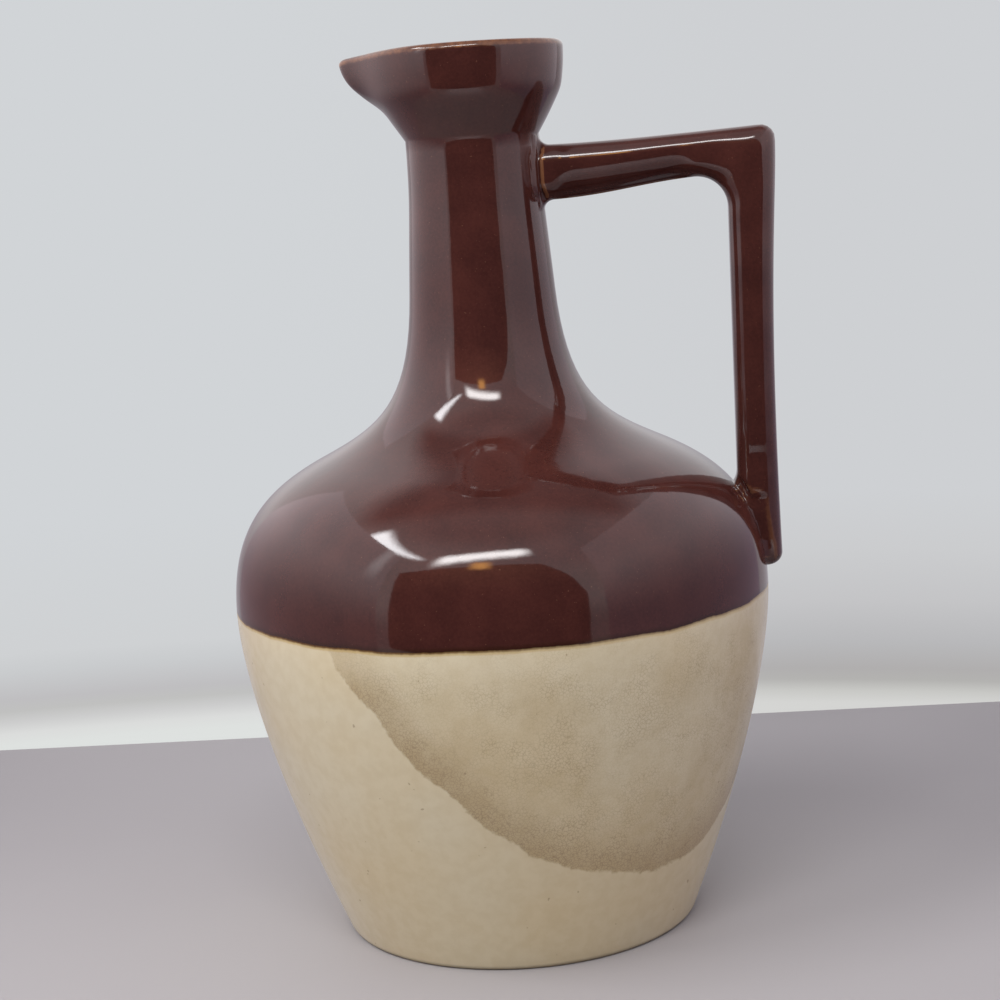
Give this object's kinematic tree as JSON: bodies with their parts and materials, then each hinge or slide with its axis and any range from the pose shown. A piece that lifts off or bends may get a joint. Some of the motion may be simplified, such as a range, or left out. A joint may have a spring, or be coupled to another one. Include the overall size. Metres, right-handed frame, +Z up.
{
  "type": "stoneware jug",
  "caption": "Hollow stoneware jug for a drink: round shoulder, tall neck, flared collar with a pinched pouring spout and a squared side handle.",
  "frame": {"origin": "centre of the flat base, on the surface that the jug stands on", "axes": "+Z up along the neck, +X towards the handle, -X towards the pouring spout"},
  "size_m": [0.1282, 0.1224, 0.2],
  "materials": {
    "glazed_stoneware": "glossy brown glaze above, cream glaze below"
  },
  "bodies": {
    "root": {"jug": "glazed_stoneware"}
  },
  "joints": []
}
